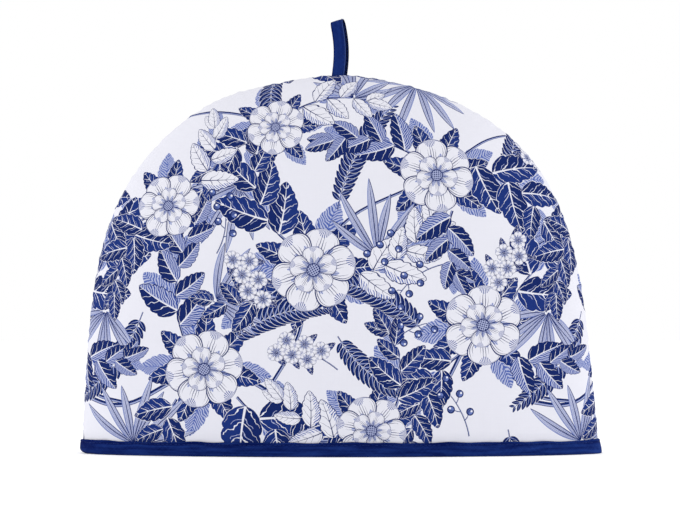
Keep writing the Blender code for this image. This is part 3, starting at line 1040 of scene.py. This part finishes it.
def stitchTree():
    sockets = [("Path", "Geometry"), ("Finish", "Material"), ("Seed", "Int")]
    sockets += [(name, "Float") for name in ("Pitch", "Length", "Thread", "Rise", "Wander")]
    graph, given = newTree("stitchesOnPath", "GeometryNodeTree", sockets, "Geometry")
    path, finish, seed, pitch, length, thread, rise, wander = given
    curve = graph.add("GeometryNodeMeshToCurve", {"Mesh": path})
    even = graph.add("GeometryNodeResampleCurve", {"Curve": curve, "Length": pitch}, mode="LENGTH")
    tangent = graph.add("GeometryNodeInputTangent", {})
    outward = graph.add("GeometryNodeInputNamedAttribute", {"Name": "outward"}, data_type="FLOAT_VECTOR")
    along = graph.add("FunctionNodeAlignRotationToVector", {"Vector": tangent}, axis="X")
    upright = {"Rotation": along, "Vector": outward}
    along = graph.add("FunctionNodeAlignRotationToVector", upright, axis="Z", pivot_axis="X")
    swing = graph.add("FunctionNodeRandomValue", {2: wander * -1.0, 3: wander, "Seed": seed}, 1)
    turned = graph.add("FunctionNodeEulerToRotation", {"Euler": graph.join(0.0, 0.0, swing)})
    turned = {"Rotation": along, "Rotate By": turned}
    along = graph.add("FunctionNodeRotateRotation", turned, rotation_space="LOCAL")
    start, end = (graph.join(length * share, 0.0, thread * -0.8) for share in (-0.5, 0.5))
    bow = {"Resolution": 5, "Start": start, "Middle": graph.join(0.0, 0.0, rise), "End": end}
    bow = graph.add("GeometryNodeCurveQuadraticBezier", bow)
    ring = graph.add("GeometryNodeCurvePrimitiveCircle", {"Resolution": 6, "Radius": thread})
    stitch = {"Curve": bow, "Profile Curve": ring, "Fill Caps": True}
    stitch = graph.add("GeometryNodeCurveToMesh", stitch)
    laid = {"Points": even, "Instance": stitch, "Rotation": along}
    laid = graph.add("GeometryNodeInstanceOnPoints", laid)
    real = graph.add("GeometryNodeRealizeInstances", {"Geometry": laid})
    smooth = graph.add("GeometryNodeSetShadeSmooth", {"Geometry": real})
    done = graph.add("GeometryNodeSetMaterial", {"Geometry": smooth, "Material": finish})
    return closeTree(graph, done)


def addStitches(name, tree, lines, values):
    points = np.concatenate([line[0] for line in lines])
    outward = np.concatenate([line[1] for line in lines])
    edges, start = [], 0
    for line, _, closed in lines:
        count = len(line)
        edges += [(start + k, start + (k + 1) % count) for k in range(count if closed else count - 1)]
        start += count
    mesh = bpy.data.meshes.new(name + "_path")
    mesh.from_pydata(points.tolist(), edges, [])
    storeVectors(mesh, "outward", "POINT", outward)
    guide = addObject(name + "_path", mesh)
    modifier = guide.modifiers.new("stitches", "NODES")
    modifier.node_group = tree
    for item in tree.interface.items_tree:
        if item.in_out == "INPUT" and item.name in values:
            modifier[item.identifier] = values[item.name]
    bpy.context.view_layer.update()
    made = guide.evaluated_get(bpy.context.evaluated_depsgraph_get())
    stitched = bpy.data.meshes.new_from_object(made)
    guide.modifiers.remove(modifier)
    bpy.data.objects.remove(guide)
    return addObject(name, stitched)


# finishes

clothSettings = {
    "dyes": [  # from the bare ground to where the ink lies thickest
        (0.0, (218, 218, 227)),
        (0.4, (111, 127, 183)),
        (0.56, (61, 84, 158)),
        (0.72, (33, 58, 132)),
        (0.93, (7, 21, 72)),
    ],
    "lining": (233, 231, 238),
    "thread": 0.62,  # millimetres from one thread of the panels' weave to the next
    "tapeThread": 0.34,
    "liningThread": 0.496,
    "slubs": ((1.6, 0.05), (0.05, 1.6)),  # uneven threads: the noise's scale across and up
}


def weave(graph, place, pitch):  # a plain weave's height, 0 in its gaps and 1 on its threads, and its slubs
    x, y, _ = graph.split(place)
    a, b = x / pitch, y / pitch
    over = (math.floor(a) + math.floor(b)) % 2.0
    warp, weft = (abs((way * math.pi).sine()) for way in (a, b))
    crown = over * warp * (0.55 + 0.45 * weft) + (1.0 - over) * weft * (0.55 + 0.45 * warp)
    up, across = (graph.noise(graph.join(x * wide, y * tall), 1.0) for wide, tall in clothSettings["slubs"])
    return crown, up + across - 1.0


def motifInkGroup():  # lays one motif over the ink below it: 0 is bare cloth, 1 the deepest dye
    p = printSettings
    sockets = [("Place", "Vector"), ("Wobble", "Float"), ("Below", "Float")]
    graph, (place, wobble, below) = newTree("motifInk", "ShaderNodeTree", sockets, "Float")
    s, t, code = graph.split(place)  # half widths across the motif, its length, and what it is
    whole = math.floor(code + 0.5)
    style = whole % 16.0
    rest = math.floor(whole / 16.0)
    skew = p["skewStart"] + p["skewStep"] * (rest % 8.0)
    full = math.floor(rest / 8.0) * 0.1
    tau = t.capped() ** skew
    width = (4.0 * tau * (1.0 - tau)) ** full
    off = abs(s)  # distance from the midrib
    vein = p["veins"] * (t - 0.3 * off) + 0.35 * wobble
    beside = vein.fract()
    drawnIn = 1.0 - abs((vein * math.pi).cosine())
    leafStyles = ("dark", "shade", "outlined", "halved")
    isLeaf = sum((style.isAbout(p["styles"].index(name)) for name in leafStyles), 0.0)
    width = width * (1.0 - p["lobes"] * drawnIn * isLeaf)
    inside = (off < width) * (t > 0.0) * (t < 1.0)
    acrossShare = s / width.larger(0.001)
    offShare = abs(acrossShare)
    toEdge = width - off
    halves = p["veinHalf"], p["boldVeinHalf"]
    onVein, onBoldVein = (abs(beside - 0.5) > 0.5 - half * (1.15 - offShare) for half in halves)
    onRib, onBoldRib = (off < half * (1.15 - t) for half in (p["ribHalf"], p["boldRibHalf"]))
    hatch = (3.0 * vein).fract()
    fromMiddle = (s * s + (2.0 * t - 1.0) ** 2.0).root()

    def swap(ink, mask, other):  # other where the mask is 1
        return ink + (other - ink) * mask

    def edged(ink, thickness, other):
        return swap(ink, toEdge < thickness, other)

    def fromStripe(count, sway):  # how far from the middle of the nearest of these stripes, in their widths
        return abs((count * acrossShare + sway * wobble).fract() - 0.5)

    shine = (hatch < 0.18) * (beside > 0.45) * (offShare < 0.5 + 0.35 * wobble) * (t < 0.8)
    dark = swap(swap(0.92, s > 0.0, 1.0), shine, 0.3)
    dark = swap(dark, onBoldVein * (offShare < 0.86), 0.0)
    dark = edged(dark * (1.0 - onBoldRib), 0.038, 0.0)
    shade = 0.26 + 0.34 * (hatch < 0.45)
    shade = swap(shade, onRib.larger(onVein * (offShare < 0.8)), 0.62)
    scallop = 0.74 + 0.3 * (7.0 * acrossShare).cosine()
    rays = 9.0 * acrossShare
    petal = (0.14 + 0.36 * (rays.fract() < 0.5)) * (t < 0.4 + 0.12 * rays.sine())
    petal = swap(petal, fromStripe(6.5, 0.3) < 0.27 * (1.0 - t / scallop), 1.0)
    tips = t > 0.84 - 0.08 * (5.0 * acrossShare).cosine()
    petal = swap(petal, (fromStripe(8.0, 0.3) < 0.2) * tips, 0.75)
    petal = edged(petal, 0.07, 1.0)
    outlined = 0.6 * (hatch < 0.38) * (offShare > 0.4 + 0.3 * wobble) * (s < 0.0)
    outlined = swap(outlined, onVein * (offShare < 0.9), 1.0)
    outlined = edged(swap(outlined, onRib, 1.0), 0.075, 1.0)
    small = edged(swap(1.0, (off < 0.16 * (1.0 - t)) * (t < 0.75), 0.4), 0.1, 0.0)
    berry = swap(0.5, (s > 0.0) * ((5.0 * (s + t)).fract() < 0.6), 1.0)
    glint = ((s + 0.28) ** 2.0 + (2.0 * t - 1.3) ** 2.0) < 0.073
    berry = swap(swap(berry, glint, 0.0), fromMiddle > 0.72, 1.0)
    halved = 0.24 + 0.5 * (hatch < 0.52) * (offShare > 0.1)
    halved = swap(halved, s > 0.0, 1.0 - onBoldVein * (offShare < 0.86))
    halved = edged(halved * (1.0 - onBoldRib), 0.06, 1.0)
    dots = (14.0 * s).sine() * (28.0 * t).sine() > 0.15
    centre = swap(swap(0.3, dots, 1.0), fromMiddle > 0.86, 1.0)
    blade = swap(0.2, fromStripe(3.5, 0.25) < 0.22 - 0.16 * t, 0.72)
    blade = swap(blade, (offShare < 0.34 - 0.3 * t) * (s < 0.02), 1.0)
    blade = edged(blade, 0.16, swap(0.5, s < 0.0, 1.0))
    stem = swap(1.0, (s < -0.05) * (s > -0.7), 0.35)
    inks = (dark, shade, petal, outlined, small, berry, halved, centre, blade, stem)  # as in styles
    ink = sum((style.isAbout(number) * inks[number] for number in range(len(inks))), 0.0)
    return closeTree(graph, swap(below, inside, ink))


def printedCotton():
    s = clothSettings
    material, graph, shader = newMaterial("printedCotton", 0.02, 0.5, 0.05)
    place = graph.clothPlace()
    threads, uneven = weave(graph, place, s["thread"])
    wobble = (graph.noise(place, 0.16, 2.0) - 0.5) * 2.0
    group = motifInkGroup()
    ink = 0.0
    for layer in range(printSettings["layers"]):
        motif = graph.add("ShaderNodeAttribute", {}, "Vector", attribute_name=f"print{layer}")
        inputs = {"Place": motif, "Wobble": wobble, "Below": ink}
        ink = graph.add("ShaderNodeGroup", inputs, node_tree=group)
    dry = graph.noise(place, 2.2, 3.0)
    ink = ink * (1.0 - 0.14 * (1.0 - threads) - 0.12 * dry)
    colour = graph.ramp(ink, [(share, paint(*dye)) for share, dye in s["dyes"]])
    tone = (0.976 + 0.024 * threads + 0.027 * uneven).capped()
    colour = graph.mixColours(tone, paint(20, 18, 34), colour)
    connect(graph, shader, colour, 0.9 - 0.08 * ink, threads * (1.0 + 0.8 * uneven), 0.35, 0.00012)
    return material


def liningCotton():
    s = clothSettings
    material, graph, shader = newMaterial("liningCotton", 0.02, 0.5, 0.05)
    threads, uneven = weave(graph, graph.clothPlace(), s["liningThread"])
    tone = (0.9 + 0.1 * threads + 0.12 * uneven).capped()
    colour = graph.mixColours(tone, paint(196, 192, 198), paint(*s["lining"]))
    connect(graph, shader, colour, 0.88 + 0.06 * threads, threads * (1.0 + 0.8 * uneven), 0.4, 0.00012)
    return material


def tapeCotton(name, s):  # the hem's cotton or the loop's, from their settings
    material, graph, shader = newMaterial(name, 0.01, 0.4, 0.03)
    x, y, _ = graph.split(graph.clothPlace())
    bias = graph.join((x + y) * math.sqrt(0.5), (y - x) * math.sqrt(0.5))  # the tape is cut on the bias
    threads, uneven = weave(graph, bias, clothSettings["tapeThread"])
    fade = graph.noise(graph.join(x * 0.045, y * 0.5), 1.0, 3.0)

    def band(way, place, half, change):  # full at the place, nothing beyond half a band away
        return change * (1.0 - abs(way - place) / half).capped()

    tone = s["tone"] + 0.3 * threads + 0.35 * uneven + s["mottle"] * (fade - 0.5)
    # painted shade: darker lines across the tape, along the hem's stitch groove and the loop's folded edge
    for line in s["lines"]:
        tone = tone + band(y, *line)
    # painted light: paler along a stretch of the tape, and a little lighter further across it, as far as 11
    # mm
    tone = (tone + band(x, *s["paintedLightBand"]) + 0.012 * y.pingPong(11.0)).capped()
    colour = graph.mixColours(tone, paint(3, 17, 73), paint(30, 56, 125))
    # painted highlights: bands mixed towards a lighter blue
    for highlight in s["paintedHighlights"]:
        colour = graph.mixColours(band(y, *highlight), colour, paint(72, 90, 138))
    # painted shade on the tape's inner face, towards near-black
    inShade = s["shade"] * (y > s["shadeFrom"]) * (y < s["shadeTo"])
    colour = graph.mixColours(inShade, colour, paint(0, 3, 30))
    connect(graph, shader, colour, 0.86 - 0.08 * threads, threads * (1.0 + 0.5 * uneven), 0.5, 0.0001)
    return material


def sewingThread():
    material, graph, shader = newMaterial("sewingThread", 0.02, 0.4, 0.12)
    place = graph.add("ShaderNodeTexCoord", {}, "Object")
    twist = graph.add("ShaderNodeTexWave", {"Vector": place, "Scale": 900.0}, bands_direction="DIAGONAL")
    colour = graph.mixColours(twist, paint(5, 20, 72), paint(26, 52, 126))
    connect(graph, shader, colour, 0.7 - 0.15 * twist, twist, 0.4, 0.00005)
    return material


# the table, the light and the camera

viewSettings = {
    "distance": 2.4,
    "height": 0.1332,
    "side": -0.0005,
    "frameWidth": 0.453,  # what the frame takes in at the middle of the cosy
    "sensor": 36.0,
    "floorSize": 6.0,
    "floorTone": (0.9, 0.9, 0.9, 1.0),
    "floorGlow": 0.22,
    "white": (1.0, 1.0, 1.0, 1.0),
    "sky": 1.0,
    "lights": [  # place, what it faces, size and power
        ("leftBox", (-1.6, -0.25, 0.4), (0, 0, 0.13), (0.9, 1.2), 7.0),
        ("rightBox", (1.6, -0.25, 0.4), (0, 0, 0.13), (0.9, 1.2), 7.0),
        ("topBox", (0.0, -0.5, 1.5), (0, 0, 0.1), (1.2, 0.8), 1.0),
    ],
}


def addFloor():
    s = viewSettings
    half = s["floorSize"] / 2
    mesh = bpy.data.meshes.new("floor")
    corners = [(side * half, end * half, 0) for side, end in ((-1, -1), (1, -1), (1, 1), (-1, 1))]
    mesh.from_pydata(corners, [], [(0, 1, 2, 3)])
    material, graph, shader = newMaterial("floorPaper", 0.0, 0.5, 0.1)
    looks = {"Base Color": s["floorTone"], "Roughness": 0.9}
    looks.update({"Emission Color": s["white"], "Emission Strength": s["floorGlow"]})
    for name, value in looks.items():
        shader.inputs[name].default_value = value
    mesh.materials.append(material)
    addObject("floor", mesh)


def addLight(name, place, target, size, power):
    light = bpy.data.lights.new(name, "AREA")
    light.shape = "RECTANGLE"
    light.size, light.size_y = size
    light.energy = power
    lamp = addObject(name, light)
    lamp.location = place
    away = [a - b for a, b in zip(place, target)]
    flat = math.hypot(away[0], away[1])
    lamp.rotation_euler = (math.atan2(flat, away[2]), 0.0, math.atan2(away[1], away[0]) + math.pi / 2)


def addStudio():
    scene = bpy.context.scene
    world = bpy.data.worlds.new("studio")
    world.use_nodes = True
    background = world.node_tree.nodes["Background"]
    background.inputs["Color"].default_value = viewSettings["white"]
    background.inputs["Strength"].default_value = viewSettings["sky"]
    scene.world = world
    scene.view_settings.view_transform = "Standard"
    for row in viewSettings["lights"]:
        addLight(*row)


def addCamera():
    s = viewSettings
    lens = bpy.data.cameras.new("camera")
    lens.sensor_width = s["sensor"]
    lens.lens = s["sensor"] * s["distance"] / s["frameWidth"]
    lens.dof.use_dof = False
    camera = addObject("camera", lens)
    camera.location = (s["side"], -s["distance"], s["height"])
    camera.rotation_euler = (math.pi / 2, 0.0, 0.0)
    bpy.context.scene.camera = camera


# putting it together

addFloor()
addStudio()
addCamera()
print("studio ready")

printCotton, lining, thread = printedCotton(), liningCotton(), sewingThread()
hemCotton = tapeCotton("hemCotton", bindingSettings)
loopCotton = tapeCotton("loopCotton", loopSettings)
print("finishes ready")

frontPiece, frontSize, frontArea = addPanel("front_panel", [printCotton, lining], False)
backPiece, backSize, backArea = addPanel("back_panel", [printCotton, lining], True)
print("panels ready")

bindingPiece = addBinding("hem_tape", hemCotton)
loopPiece = addLoop("loop_tape", loopCotton)
print("tapes ready")

stitches = stitchTree()
hemLines = [(*stitchLine(inside), True) for inside in (False, True)]
hemValues = {**stitchSettings["hem"], "Pitch": bindingSettings["stitchPitch"], "Finish": thread}
hemStitches = addStitches("hem_stitches", stitches, hemLines, hemValues)
loopLines = [(*loopStitchLine(outside), False) for outside in (False, True)]
loopValues = {**stitchSettings["loop"], "Pitch": loopSettings["stitchPitch"], "Finish": thread}
loopStitches = addStitches("loop_stitches", stitches, loopLines, loopValues)
print("stitches ready")

for piece, slot, nodes in (
    (frontPiece, "printed_cotton", ["front_panel"]),
    (backPiece, "printed_cotton", ["back_panel"]),
    (bindingPiece, "binding_cotton", ["hem_binding"]),
    (loopPiece, "binding_cotton", ["hanging_loop"]),
    (hemStitches, "binding_cotton", []),
    (loopStitches, "binding_cotton", []),
):
    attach(piece, "root")
    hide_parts(*nodes)
